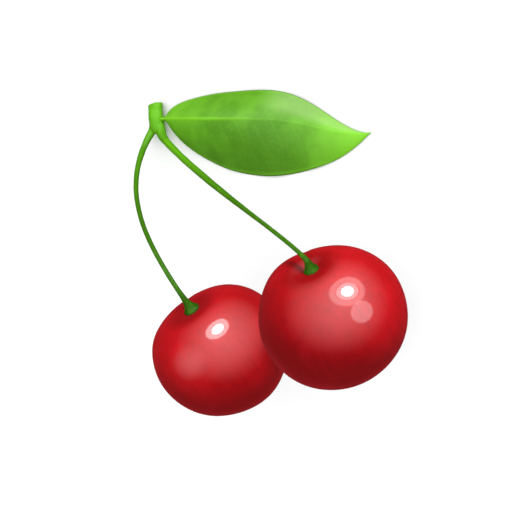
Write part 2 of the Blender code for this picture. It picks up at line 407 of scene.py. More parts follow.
def leaf_face(name, look):
    """Leaf skin: a bright midrib, faint side veins, soft mottling, painted shade over the near
    half's middle, a painted sheen towards the far margin and a lime tip.
    """
    skin = Shading(
        name,
        IOR=1.45,
        Specular_IOR_Level=0.3,
        Coat_Weight=look["coat"],
        Coat_Roughness=0.30,
    )
    along = skin.attribute("along")
    across = skin.attribute("across")
    mottle = skin.ramp(skin.noise(4.0 * MM, 3.0), 0.38, 0.66)
    colour = skin.mix(mottle, look["deep"], look["blade"])
    # Painted shade: darker over the middle of the blade's near half.
    middle = skin.math("MULTIPLY", skin.ramp(along, 0.12, 0.48), skin.ramp(along, 0.80, 0.55))
    painted_shade_near_half = skin.math("MULTIPLY", middle, skin.ramp(across, 0.05, -0.30))
    colour = skin.tint(colour, painted_shade_near_half, 0.75, look["shade"])
    cell = skin.noise(0.55 * MM, 3.0)
    colour = skin.tint(colour, skin.ramp(cell, 0.48, 0.70), 0.16, look["vein"])
    colour = skin.tint(colour, skin.ramp(along, 0.30, 0.02), 0.34, look["lime"])
    colour = skin.tint(colour, skin.ramp(along, 0.64, 1.0), 0.95, look["lime"])
    # Painted sheen: a whitish gleam over the outer far half, from the middle of the blade to the
    # tip.
    painted_sheen_mask = skin.math("MULTIPLY", skin.ramp(along, 0.46, 0.62), skin.ramp(across, 0.10, 0.55))
    colour = skin.tint(colour, painted_sheen_mask, 0.25, look["painted_sheen"])
    colour = skin.tint(colour, skin.attribute("margin"), 0.45, look["lime"])
    colour = skin.tint(colour, skin.attribute("vein"), 0.16, look["vein"])
    colour = skin.mix(skin.attribute("rib"), colour, look["rib"])
    skin.drive("Base Color", colour)
    skin.drive("Roughness", skin.stretched(cell, *look["rough"]))
    skin.drive("Normal", skin.bump(cell, 0.015 * MM))
    return skin.material


# -------- fruits

FRUIT_SEGMENTS = 144
FRUIT_RINGS = 96
SEAM_DEPTH = 0.13 * MM
SEAM_SPREAD = 0.75 * MM
SEAM_FACING = Vector((-0.45, -0.15, -0.88))  # the seam runs on the side that faces the surface
DIMPLE_TIGHTNESS = 0.70  # the dimple's radius here over its radius in the CAD solid
SEAM_FADE = (0.02, 0.25)  # how far from the fruit's axis the seam starts, and is full
CHEEK_SWELL = 0.06 * MM  # how far the skin wanders in and out of its even shape
CHEEK_LUMPS = 1.7  # how quickly it wanders from place to place
NAVEL_DEPTH = 0.30 * MM
NAVEL_RADIUS = 1.1 * MM
SCAR_RADIUS = 0.45 * MM
SCAR_RISE = 0.5  # the scar stands up by this share of its navel's depth

Swell = namedtuple("Swell", "facing height spread")

# Where each fruit is fuller or flatter than its even shape.
LEFT_SWELLS = (
    Swell(facing=Vector((-0.42, 0.86, 0.29)), height=-0.40 * MM, spread=0.55),
    Swell(facing=Vector((0.58, -0.71, -0.41)), height=0.45 * MM, spread=0.50),
    Swell(facing=Vector((-0.81, 0.10, 0.57)), height=0.20 * MM, spread=0.30),
)
RIGHT_SWELLS = (
    Swell(facing=Vector((-0.64, 0.63, 0.45)), height=0.60 * MM, spread=0.42),
)


def fruit_profile(fruit, across, along):
    """(radius, height) on the fruit's own axis for a point of the unit sphere."""
    radius = fruit.half_width * across ** fruit.fullness
    if along < 0:
        return radius, fruit.base * along
    return radius, fruit.crown * along - fruit.dimple_depth * bell(radius, fruit.dimple_radius)


def fruit_turn(fruit):
    """The rotation that leans the stalk axis from +Z."""
    axis = heading_vector(fruit.heading, fruit.lean)
    return Vector((0.0, 0.0, 1.0)).rotation_difference(axis).to_matrix()


def fruit_shape(fruit, seam_angle):
    """The even shape around the origin with its axis along +Z, and its points by direction."""
    tight = fruit._replace(dimple_radius=fruit.dimple_radius * DIMPLE_TIGHTNESS)
    shape = bmesh.new()
    bmesh.ops.create_uvsphere(
        shape, u_segments=FRUIT_SEGMENTS, v_segments=FRUIT_RINGS, radius=1.0
    )
    polar = shape.verts.layers.float.new("polar")
    seam = shape.verts.layers.float.new("seam")
    for vertex in shape.verts:
        along = vertex.co.z
        across = min(1.0, math.hypot(vertex.co.x, vertex.co.y))
        angle = math.atan2(vertex.co.y, vertex.co.x)
        radius, height = fruit_profile(tight, across, along)
        vertex.co = Vector((radius * math.cos(angle), radius * math.sin(angle), height))
        vertex[polar] = along
        off_seam = (angle - seam_angle + math.pi) % TURN - math.pi
        vertex[seam] = bell(off_seam * radius, SEAM_SPREAD) * smooth_step(*SEAM_FADE, across)
    return shape


def add_skin_relief(shape, seed):
    """The seam, the blossom scar in its navel, and slightly uneven cheeks."""
    polar = shape.verts.layers.float["polar"]
    seam = shape.verts.layers.float["seam"]
    for vertex in shape.verts:
        outward = vertex.co.normalized()
        swell = noise.noise(outward * CHEEK_LUMPS + Vector((seed, 0.0, 0.0)))
        rise = CHEEK_SWELL * swell - SEAM_DEPTH * vertex[seam]
        if vertex[polar] < 0.0:
            from_axis = math.hypot(vertex.co.x, vertex.co.y)
            rise -= NAVEL_DEPTH * bell(from_axis, NAVEL_RADIUS)
            rise += SCAR_RISE * NAVEL_DEPTH * bell(from_axis, SCAR_RADIUS)
        vertex.co += outward * rise


def add_fruit(node, fruit, seed, swells):
    """One cherry in its CAD solid's place, settled on its resting flat: (its middle, the piece)."""
    turn = fruit_turn(fruit)
    facing = turn.transposed() @ SEAM_FACING
    shape = fruit_shape(fruit, math.atan2(facing.y, facing.x))
    low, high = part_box(node)
    even = [turn @ vertex.co for vertex in shape.verts]
    middle = 0.5 * (low + high) - box_middle(even)
    middle.z = high.z - max(point.z for point in even)
    add_skin_relief(shape, seed)
    bmesh.ops.rotate(shape, verts=shape.verts, matrix=turn)
    for vertex in shape.verts:
        outward = vertex.co.normalized()
        for swell in swells:
            vertex.co += outward * swell.height * bell(outward.angle(swell.facing), swell.spread)
        vertex.co.z = max(vertex.co.z, low.z - middle.z)
    skin = cherry_skin(node + "_red", turn)
    piece = finish_piece(shape, node + "_skin", [skin], [node])
    piece.location = middle
    return middle, piece


# -------- stalks

STALK_STEPS = 90
NECK_STEPS = 12
STALK_SIDES = 28
RIDGES = 7  # lengthwise ridges round a stalk
RIDGE_HEIGHT = 0.035  # as a share of the stalk's radius
RIDGE_TWIST = 260.0  # how fast the ridges' wave shifts, in radians per metre
KNOBBLE = 0.06  # slow unevenness, as a share of the radius
KNOBBLE_LENGTH = 3.0 * MM
KNOBBLE_TURN = 0.3  # how much the unevenness changes round the stalk
INTO_SPUR = 1.2 * MM  # how far a stalk runs on inside the spur
SHEATH_THINNING = 0.12  # a stalk gets thinner by this share inside the spur's flesh
SHEATH_END = 0.4  # and is that thin at this share of the flesh's length
SEAT_SAMPLES = 40
FOOT_SINK = 0.05 * MM  # how far a foot sinks past the CAD fruit's skin
TOE_PLACES = (0.0, 0.35, 0.7)  # the rings below a foot, as shares of the way up from its seat
TOE_RADII = (0.94, 0.99, 1.0)  # and their radii, over the foot's


def stalk_seat(fruit, middle, foot_radius):
    """The middle of a stalk's foot, as in the CAD model."""
    under_foot = []
    for step in range(SEAT_SAMPLES):
        polar = 0.5 * math.pi * step / SEAT_SAMPLES
        radius, height = fruit_profile(fruit, math.sin(polar), math.cos(polar))
        if radius <= foot_radius + CAD_GAP:
            under_foot.append(height)
    axis = heading_vector(fruit.heading, fruit.lean)
    return middle + axis * (max(under_foot) + CAD_GAP)


def spur_points(origin):
    """The middles of the spur's fork end and of its cut end."""
    fork = Vector((origin.x + SPUR_PLACE.x, origin.y + SPUR_PLACE.y, SPUR_FORK_RADIUS))
    cut = fork + heading_vector(SPUR_HEADING) * SPUR_LENGTH
    cut.z = SPUR_CUT_RADIUS
    return fork, cut


def fork_end_of(stalk, side, origin):
    """Where a stalk meets the spur's fork end, and its direction there. Side is -1 on the left."""
    spur_line = heading_vector(SPUR_HEADING)
    outward = heading_vector(SPUR_HEADING + math.pi - side * stalk.splay, stalk.rise)
    clear = CAD_GAP + stalk.fork_radius * math.sin(outward.angle(-spur_line))
    across = Vector((spur_line.y, -spur_line.x, 0.0))
    sideways = side * (FORK_SPREAD + stalk.fork_radius - stalk.tuck)
    return spur_points(origin)[0] - spur_line * clear + across * sideways, outward


def stalk_route(stalk, fruit, middle, side, origin):
    """(points from the foot to the fork end, direction at the foot, direction at the fork)."""
    axis = heading_vector(fruit.heading, fruit.lean)
    foot = stalk_seat(fruit, middle, stalk.foot_radius)
    neck_end = foot + axis * FOOT_NECK
    launch = neck_end + axis * stalk.launch
    fork_end, outward = fork_end_of(stalk, side, origin)
    arrive = fork_end + outward * stalk.arrive
    neck = [foot.lerp(neck_end, step / NECK_STEPS) for step in range(NECK_STEPS)]
    shaft = interpolate_bezier(neck_end, launch, arrive, fork_end, STALK_STEPS)
    for step, place in enumerate(shaft):
        place += stalk.bow * bell(step / (STALK_STEPS - 1) - BOW_PLACE, BOW_SPREAD)
    return neck + shaft, axis, outward


def distances_along(route):
    """How far each point of the route is from its first one, along the route."""
    walked = [0.0]
    for start, end in zip(route, route[1:]):
        walked.append(walked[-1] + (end - start).length)
    return walked


def stalk_radius(stalk, from_foot, from_fork):
    """A flared foot, a thin shaft with a slight belly, and a wider fork end."""
    share = from_foot / max(from_foot + from_fork, MM)
    belly = stalk.belly * bell(share - BELLY_PLACE, BELLY_SPREAD)
    flare = (stalk.foot_radius - stalk.shaft_radius) * math.exp(-max(0.0, from_foot) / FOOT_FLARE)
    taper = (stalk.fork_radius - stalk.shaft_radius) * math.exp(-max(0.0, from_fork) / FORK_TAPER)
    return stalk.shaft_radius + flare + taper + belly


def sweep(shape, route, sides, radius_at, layers=()):
    """Adds a closed tube along the route. radius_at(step, angle) is its radius there.

    layers holds pairs of (layer, value_at), and value_at(step, angle) fills that layer.
    """
    rings = []
    sideways = (route[1] - route[0]).orthogonal().normalized()
    for step, place in enumerate(route):
        ahead = route[min(step + 1, len(route) - 1)] - route[max(step - 1, 0)]
        ahead.normalize()
        sideways = (sideways - ahead * sideways.dot(ahead)).normalized()
        upwards = ahead.cross(sideways)
        ring = []
        for index in range(sides):
            angle = TURN * index / sides
            outward = sideways * math.cos(angle) + upwards * math.sin(angle)
            vertex = shape.verts.new(place + outward * radius_at(step, angle))
            for layer, value_at in layers:
                vertex[layer] = value_at(step, angle)
            ring.append(vertex)
        rings.append(ring)
    for lower, upper in zip(rings, rings[1:]):
        for index in range(sides):
            after = (index + 1) % sides
            shape.faces.new((lower[index], lower[after], upper[after], upper[index]))
    shape.faces.new(list(reversed(rings[0])))
    shape.faces.new(rings[-1])


def ridge_wave(angle, walked):
    """Lengthwise ridges that wander slowly round the stalk, from 0 in a furrow to 1 on a ridge."""
    return 0.5 + 0.5 * math.sin(RIDGES * angle + RIDGE_TWIST * walked)


def add_stalk(node, stalk, route, axis, outward, seed, material):
    """One stalk: a flared foot seated in the dimple, a ridged shaft, and its end in the spur."""
    seat = route[0] - axis * (CAD_GAP + FOOT_SINK)
    toe = [seat.lerp(route[0], place) for place in TOE_PLACES]
    inside = route[-1] - outward * INTO_SPUR
    path = toe + route + [route[-1].lerp(inside, 0.5), inside]
    walked = distances_along(path)
    foot_at = walked[len(toe)]
    length = walked[-1]

    def radius_at(step, angle):
        here = walked[step] - foot_at
        from_fork = length - INTO_SPUR - walked[step]
        radius = stalk_radius(stalk, here, from_fork)
        sheathed = smooth_step(ARM_LENGTH, SHEATH_END * ARM_LENGTH, from_fork)
        radius *= 1.0 - SHEATH_THINNING * sheathed
        if step < len(TOE_RADII):
            radius = stalk.foot_radius * TOE_RADII[step]
        place = Vector((seed, walked[step] / KNOBBLE_LENGTH, math.sin(angle) * KNOBBLE_TURN))
        slow = noise.noise(place)
        ridge = RIDGE_HEIGHT * (ridge_wave(angle, walked[step]) - 0.5)
        return radius * (1.0 + KNOBBLE * slow + ridge)

    shape = bmesh.new()
    layers = (
        (shape.verts.layers.float.new("along"), lambda step, angle: walked[step] / length),
        (
            # This layer masks the painted shade in the furrows.
            shape.verts.layers.float.new("furrow"),
            lambda step, angle: 1.0 - ridge_wave(angle, walked[step]),
        ),
    )
    sweep(shape, path, STALK_SIDES, radius_at, layers)
    return finish_piece(shape, node + "_bark", [material], [node])


# -------- spur

SPUR_SIDES = 40
SPUR_STEPS = 46
ARM_STEPS = 16
ARM_SIDES = 28
SPUR_RINGS = 2  # faint scars round the spur near its cut end
RINGS_FROM = 0.6  # the share of the spur where they start
RING_HEIGHT = 0.014  # as a share of the radius
LOBES = 3  # lobes round the stem, which turn slowly along it
LOBE_HEIGHT = 0.02
LOBE_TURN = 9.0
WEB_DEPTH = 0.80 * MM  # how far the web of the fork reaches beyond the spur's fork end
WEB_TIP_RADIUS = 0.32 * MM
STEM_FREE = 0.50  # from this share of the spur on, the stem has its full width
STEM_POWER = 0.9  # how it widens up to there
ARM_LENGTH = 4.5 * MM  # how far the spur's flesh follows each stalk
ARM_MERGE = 0.78  # where the arms have merged with the stem
ARM_RADIUS = 0.95 * MM  # the radius of an arm there
ARM_OFFSET = 0.27 * MM  # and its distance from the stem's own line
ARM_HANDLE = 0.40  # how straight an arm leaves the stalk and joins the stem
ARM_START = 0.88  # its radius over the stalk's where it starts
ARM_GAIN = 0.14  # and what that share gains on the way to the fork
ARM_GAINED = 0.6  # the share of that way where it has gained it
SPUR_VOXEL = 0.075 * MM
SMOOTHING = 0.5  # strength of each round of smoothing
EVEN_ROUNDS = 8  # smoothing of the whole spur, and then of its fork alone
FORK_ROUNDS = 90
FORK_SIDE = (-0.85, -0.40)  # shares of the spur where the fork's smoothing sets in
CUT_SIDE = (0.60, 0.90)  # and where it ends
CUT_HOLLOW = 0.20 * MM
CUT_RIM = (0.16 * MM, 0.08 * MM)  # how far short of its end the cut starts, and is full
CUT_SLANT = 0.24  # the cut end slopes by this share from side to side
SLANT_FROM = 0.6  # the share of the spur where the slope sets in
WOOD_EDGE = (0.80, 0.90)  # where the bare wood gives way to bark, as shares of the radius


def spur_radius(share):
    """Wide at the fork, narrow at the neck and a little wider at the cut end."""
    towards_fork = (SPUR_FORK_RADIUS - SPUR_NECK_RADIUS) * (1.0 - share) ** 2
    towards_cut = (SPUR_CUT_RADIUS - SPUR_NECK_RADIUS) * share ** 4
    return SPUR_NECK_RADIUS + towards_fork + towards_cut


def stem_radius(share):
    """The stem's own radius, which narrows between the arms to the tip of the fork's web."""
    tip = -WEB_DEPTH / SPUR_LENGTH
    fullness = min(1.0, max(0.0, (share - tip) / (STEM_FREE - tip))) ** STEM_POWER
    return WEB_TIP_RADIUS + (spur_radius(max(0.0, share)) - WEB_TIP_RADIUS) * fullness


def add_spur_stem(shape, fork, cut):
    """The oval stem, from the tip of the fork's web to the cut end, with faint ring scars."""
    tip = -WEB_DEPTH / SPUR_LENGTH
    shares = [tip + (1.0 - tip) * step / SPUR_STEPS for step in range(SPUR_STEPS + 1)]
    route = [fork + (cut - fork) * share for share in shares]

    def radius_at(step, angle):
        share = shares[step]
        past = max(0.0, share - RINGS_FROM) / (1.0 - RINGS_FROM)
        ring = RING_HEIGHT * math.sin(TURN * SPUR_RINGS * past)
        lobe = LOBE_HEIGHT * math.sin(LOBES * angle + LOBE_TURN * share)
        return stem_radius(share) * (1.0 + ring + lobe)

    sweep(shape, route, SPUR_SIDES, radius_at)
    for vertex in shape.verts:
        vertex.co.x = fork.x + (vertex.co.x - fork.x) * SPUR_OVALNESS


def add_arm(shape, stalk, route, outward, side, fork, cut):
    """The spur's flesh that runs down a stalk, as thin as the stalk where it ends."""
    walked = distances_along(route)
    length = walked[-1]
    path = [place for place, here in zip(route, walked) if length - here < ARM_LENGTH]
    line = (cut - fork).normalized()
    across = Vector((line.y, -line.x, 0.0)).normalized()
    merged = fork.lerp(cut, ARM_MERGE) + across * side * ARM_OFFSET
    handle = ARM_HANDLE * (merged - route[-1]).length
    bend = interpolate_bezier(
        route[-1], route[-1] - outward * handle, merged - line * handle, merged, ARM_STEPS
    )
    path += bend[1:]
    steps = distances_along(path)
    fork_at = steps[-ARM_STEPS]

    def radius_at(step, angle):
        from_fork = max(0.0, fork_at - steps[step])
        bare = stalk_radius(stalk, length - from_fork, from_fork)
        bare *= ARM_START + ARM_GAIN * smooth_step(0.0, ARM_GAINED * fork_at, steps[step])
        merging = smooth_step(fork_at, steps[-1], steps[step])
        return bare + (ARM_RADIUS - bare) * merging

    sweep(shape, path, ARM_SIDES, radius_at)


def modified(shape, kind, weight_at=None, **settings):
    """The bmesh after one modifier, which weight_at(place) can limit to a part of it."""
    mesh = bpy.data.meshes.new("rough")
    shape.to_mesh(mesh)
    shape.free()
    rough = add_object("rough", mesh)
    modifier = rough.modifiers.new("change", kind)
    for key, value in settings.items():
        setattr(modifier, key, value)
    if weight_at is not None:
        group = rough.vertex_groups.new(name="changed")
        for vertex in mesh.vertices:
            group.add([vertex.index], weight_at(vertex.co), "REPLACE")
        modifier.vertex_group = group.name
    evaluated = rough.evaluated_get(bpy.context.evaluated_depsgraph_get())
    changed = bmesh.new()
    changed.from_mesh(evaluated.to_mesh())
    evaluated.to_mesh_clear()
    bpy.data.objects.remove(rough)
    bpy.data.meshes.remove(mesh)
    return changed


def shape_cut_end(vertex, cut_layer, fork, line, length):
    """Slants the cut end, hollows it a little and marks its bare wood."""
    reach = (vertex.co - fork).dot(line)
    off_axis = vertex.co - fork - line * reach
    off_axis.x /= SPUR_OVALNESS
    share = min(1.0, off_axis.length / SPUR_CUT_RADIUS)
    on_cut = smooth_step(length - CUT_RIM[0], length - CUT_RIM[1], reach)
    vertex[cut_layer] = on_cut * (1.0 - smooth_step(*WOOD_EDGE, share))
    slant = CUT_SLANT * off_axis.x * smooth_step(SLANT_FROM * length, length, reach)
    vertex.co += line * (slant - CUT_HOLLOW * on_cut * (1.0 - share * share))


def add_spur(fork, cut, grown, material):
    """The spur, with the web of the fork and the arm round each stalk grown into one skin."""
    line = (cut - fork).normalized()
    length = (cut - fork).length

    def near_fork(place):
        share = (place - fork).dot(line) / length
        return smooth_step(*FORK_SIDE, share) * (1.0 - smooth_step(*CUT_SIDE, share))

    shape = bmesh.new()
    add_spur_stem(shape, fork, cut)
    for stalk, route, outward, side in grown:
        add_arm(shape, stalk, route, outward, side, fork, cut)
    skin = modified(shape, "REMESH", mode="VOXEL", voxel_size=SPUR_VOXEL)
    skin = modified(skin, "SMOOTH", factor=SMOOTHING, iterations=EVEN_ROUNDS)
    skin = modified(skin, "SMOOTH", near_fork, factor=SMOOTHING, iterations=FORK_ROUNDS)
    skin.verts.layers.deform.remove(skin.verts.layers.deform.verify())
    along_layer = skin.verts.layers.float.new("along")
    cut_layer = skin.verts.layers.float.new("cut")
    for vertex in skin.verts:
        vertex[along_layer] = (vertex.co - fork).dot(line) / length
        shape_cut_end(vertex, cut_layer, fork, line, length)
        vertex.co.z = max(vertex.co.z, 0.0)
    return finish_piece(skin, "spur_bark", [material], ["spur"])


# -------- leaf

LEAF_STEPS = 240
LEAF_RIBS = 72
BLADE_THICKNESS = 0.30 * MM
STEM_THICKNESS = 0.85 * MM
STEM_FADE = 0.018  # the stem's thickness fades over this share of the blade
LENS_POWER = 4  # how late the blade thins on the way to its margin
RIB_HALF_WIDTH = 0.34 * MM
RIB_NARROWING = 0.75  # the share of the rib's width that is gone at the tip
RIB_RISE = 0.10 * MM
RIB_RISE_POWER = 0.7  # how the rib's rise falls towards the tip
RIB_KEEL = 0.30 * MM
RIB_PALING = 0.92  # how much of the rib's colour goes, between these two places
RIB_PALES = (0.20, 0.62)
SIDE_VEINS = 10
VEIN_FIRST = 0.05
VEIN_STEP = 0.088
VEIN_STAGGER = 0.35  # the far side's veins sit further along by this share of a step
VEIN_SWEEP = 0.13  # how much further along the blade a vein meets the margin
VEIN_CURVE = 0.45  # how much of that comes from the vein's bend
VEIN_SLANT = 0.75  # distance across a vein, over distance along the blade
VEIN_ENDS = (0.80, 0.96)  # the places along the blade where the veins fade out
VEIN_STARTS = (0.02, 0.08)  # and those across it where they fade in
VEIN_HALF_WIDTH = 0.13 * MM
VEIN_DEPTH = 0.022 * MM
UNDER_VEIN = 1.6  # how much stronger the veins are underneath
BASE_CROWDING = 1.6  # rows of the blade crowd towards its blunt base by this power
CROWN_POWER = 0.85  # moves the blade's highest place towards its base
BASE_LIFT = 0.6  # the margin's height at the base, over the stem's
BASE_LIFT_POWER = 6  # how fast that height is gone
ARCH_POWER = 1.7  # the shape of the blade's arch from side to side
MARGIN_FROM = 0.90  # where the margin's paler edge starts, as a share of the half width
MARGIN_WAVES = 4.5
MARGIN_WAVE_HEIGHT = 0.30 * MM
MARGIN_WAVE_SHIFT = 1.3  # keeps the two sides' waves out of step
MARGIN_WAVE_POWER = 4  # how close to the margin the waves stay
LEAF_INTO_SPUR = 1.10 * MM  # how far the leaf's stem runs on inside the spur
LEAF_STEM_ROWS = 4
LEAF_CLEARS = 0.3  # the leaf clears the spur's width at this share of its station

BladeHalf = namedtuple("BladeHalf", "width base_power tip_power")
FAR_HALF = BladeHalf(width=LEAF_FAR_WIDTH, base_power=0.36, tip_power=1.35)
NEAR_HALF = BladeHalf(width=LEAF_NEAR_WIDTH, base_power=0.62, tip_power=0.95)


def blade_half_width(along, side):
    """Half width of the blade: side is +1 away from the fruits and -1 towards them."""
    half = FAR_HALF if side > 0 else NEAR_HALF
    power = half.base_power if along < 0.5 else half.tip_power
    least = LEAF_STEM_HALF_WIDTH * (1.0 - along) + LEAF_TIP_HALF_WIDTH * along
    return max(least, half.width * max(0.0, math.sin(math.pi * along)) ** power)


def midrib_bow(along):
    """How far the midrib is to one side of its straight line."""
    return -TIP_SWEEP * bell(along - TIP_SWEEP_PLACE, TIP_SWEEP_SPREAD)


def blade_height(along, across, stem_height):
    """Height of the blade's underside: a ridge at the midrib that falls to the margins."""
    midrib = stem_height * (1.0 - along) + LEAF_CROWN * math.sin(math.pi * along ** CROWN_POWER)
    margin = BASE_LIFT * stem_height * (1.0 - along) ** BASE_LIFT_POWER
    height = margin + (midrib - margin) * (1.0 - abs(across) ** ARCH_POWER)
    shift = math.copysign(MARGIN_WAVE_SHIFT, across)
    wave = 0.5 + 0.5 * math.sin(TURN * MARGIN_WAVES * along + shift)
    reach = abs(across) ** MARGIN_WAVE_POWER * math.sin(math.pi * along)
    return height + MARGIN_WAVE_HEIGHT * wave * reach


def vein_strength(along, across):
    """1 on a side vein, 0 between veins. The veins fade towards the margin and the tip."""
    reach = abs(across)
    shift = VEIN_SWEEP * ((1.0 - VEIN_CURVE) * reach + VEIN_CURVE * reach * reach)
    stagger = VEIN_STAGGER * VEIN_STEP if across > 0 else 0.0
    place = (along - shift - VEIN_FIRST - stagger) / VEIN_STEP
    nearest = min(SIDE_VEINS - 1, max(0, round(place)))
    distance = abs(place - nearest) * VEIN_STEP * LEAF_LENGTH * VEIN_SLANT
    fade = math.sqrt(1.0 - reach) * (1.0 - smooth_step(*VEIN_ENDS, along))
    return bell(distance, VEIN_HALF_WIDTH) * fade * smooth_step(*VEIN_STARTS, reach)


def leaf_point(along, across, stem_height):
    """(upper, lower, vein, rib) for one place of the blade."""
    sideways = across * blade_half_width(along, math.copysign(1.0, across))
    middle = blade_height(along, across, stem_height) + 0.5 * BLADE_THICKNESS
    rib = bell(sideways, RIB_HALF_WIDTH * (1.0 - RIB_NARROWING * along))
    stem = math.exp(-along / STEM_FADE)
    lens = math.sqrt(max(0.0, 1.0 - across ** LENS_POWER))
    half = 0.5 * BLADE_THICKNESS * lens
    half += 0.5 * (STEM_THICKNESS - BLADE_THICKNESS) * stem * math.sqrt(1.0 - across * across)
    vein = vein_strength(along, across)
    keel = RIB_KEEL * rib * (1.0 - along) * (1.0 - stem)
    crest = RIB_RISE * rib * (1.0 - along) ** RIB_RISE_POWER * (1.0 - stem)
    place = Vector((along * LEAF_LENGTH, sideways + midrib_bow(along), middle))
    upper = place + Vector((0.0, 0.0, half + (crest - VEIN_DEPTH * vein) * lens))
    lower = place - Vector((0.0, 0.0, half + (keel + UNDER_VEIN * VEIN_DEPTH * vein) * lens))
    return upper, lower, vein, rib


def cover_leaf(shape, uppers, lowers):
    """Adds the faces over the upper rows, under the lower rows and across the blade's two ends."""
    for rows, material_index in ((uppers, 0), (lowers, 1)):
        for near, far in zip(rows, rows[1:]):
            for index in range(LEAF_RIBS):
                face = shape.faces.new((near[index], near[index + 1], far[index + 1], far[index]))
                face.material_index = material_index
    for end in (0, -1):
        for index in range(LEAF_RIBS):
            corners = (uppers[end][index], uppers[end][index + 1])
            corners += (lowers[end][index + 1], lowers[end][index])
            shape.faces.new(list(dict.fromkeys(corners)))


def add_leaf(fork, cut, materials):
    """The blade as one closed shell: an upper and a lower face that meet at the thin margin."""
    station = fork.lerp(cut, LEAF_STATION)
    stem_height = station.z - 0.5 * BLADE_THICKNESS
    start_x = station.x + spur_radius(LEAF_CLEARS * LEAF_STATION) * SPUR_OVALNESS + CAD_GAP
    place = Matrix.Translation((start_x, station.y, 0.0)) @ Matrix.Rotation(LEAF_HEADING, 4, "Z")
    shape = bmesh.new()
    names = ("along", "across", "vein", "margin", "rib")
    layers = [shape.verts.layers.float.new(name) for name in names]

    def vertex_at(point, along, across, vein, rib):
        point.z = max(point.z, 0.0)
        made = shape.verts.new(place @ point)
        fade = 1.0 - RIB_PALING * smooth_step(*RIB_PALES, along)
        margin = smooth_step(MARGIN_FROM, 1.0, abs(across))
        for layer, value in zip(layers, (along, across, vein, margin, rib * fade)):
            made[layer] = value
        return made

    uppers = []
    lowers = []
    for step in range(-LEAF_STEM_ROWS, LEAF_STEPS + 1):
        along = max(0.0, step / LEAF_STEPS) ** BASE_CROWDING
        back = Vector((LEAF_INTO_SPUR * min(0, step) / LEAF_STEM_ROWS, 0.0, 0.0))
        upper_row = []
        lower_row = []
        for rib_index in range(LEAF_RIBS + 1):
            across = 2.0 * rib_index / LEAF_RIBS - 1.0
            upper, lower, vein, rib = leaf_point(along, across, stem_height)
            top = vertex_at(upper + back, along, across, vein, rib)
            on_margin = rib_index in (0, LEAF_RIBS)
            bottom = top if on_margin else vertex_at(lower + back, along, across, vein, rib)
            upper_row.append(top)
            lower_row.append(bottom)
        uppers.append(upper_row)
        lowers.append(lower_row)
    cover_leaf(shape, uppers, lowers)
    return finish_piece(shape, "leaf_blade", materials, ["leaf"])


# -------- stage, light, camera

VIEW_CLIMB = math.radians(55)  # how far above the surface the camera stands, on the +X side
VIEW_DISTANCE = 0.44
FOCAL_LENGTH = 182.0  # this and the sensor are in millimetres, as cameras count them
SENSOR_WIDTH = 36.0
NEAREST_SEEN = 0.01
AIM = Vector((-1.13 * MM, -1.03 * MM, 8.0 * MM))
VIEW_RIGHT = Vector((math.sin(VIEW_CLIMB), 0.0, -math.cos(VIEW_CLIMB)))
VIEW_UP = Vector((0.0, 1.0, 0.0))
VIEW_BACK = Vector((math.cos(VIEW_CLIMB), 0.0, math.sin(VIEW_CLIMB)))
LIGHT_DISTANCE = 1.0
FLOOR_HALF_SIZE = 3.0
FLOOR_DROP = 0.02 * MM  # how far the paper lies below the resting flats
FLOOR_GRAIN = 0.05


def add_camera():
    lens = bpy.data.cameras.new("view")
    lens.lens = FOCAL_LENGTH
    lens.sensor_width = SENSOR_WIDTH
    lens.clip_start = NEAREST_SEEN
    camera = add_object("view", lens)
    turn = Matrix((VIEW_RIGHT, VIEW_UP, VIEW_BACK)).transposed().to_4x4()
    camera.matrix_world = Matrix.Translation(AIM + VIEW_BACK * VIEW_DISTANCE) @ turn
    bpy.context.scene.camera = camera


def from_view(right, up, back):
    """A world direction given across, up and towards the main view."""
    return (VIEW_RIGHT * right + VIEW_UP * up + VIEW_BACK * back).normalized()


def soften_rim(lamp, place, radius, share):
    """Fades the lamp's disc out over this share of its radius, so its reflection has a soft edge."""
    graph = Graph(lamp)
    where = graph.node("ShaderNodeNewGeometry").outputs["Position"]
    reach = graph.node("ShaderNodeVectorMath", {0: where, 1: place}, operation="DISTANCE")
    fade = graph.ramp(reach.outputs["Value"], radius, radius * (1.0 - share))
    graph.feed(graph.tree.nodes["Emission"].inputs["Strength"], fade)


# A round softbox: the half angle in degrees that it spans, seen from the fruits, what it gives off
# as (diffuse, glossy), and the share of its radius over which its rim fades.
Lamp = namedtuple(
    "Lamp",
    "name direction half_angle radiance gives rim colour",
    defaults=((True, True), 0.15, (1.0, 1.0, 1.0)),
)
GLOSS_ONLY = (False, True)
DIFFUSE_ONLY = (True, False)

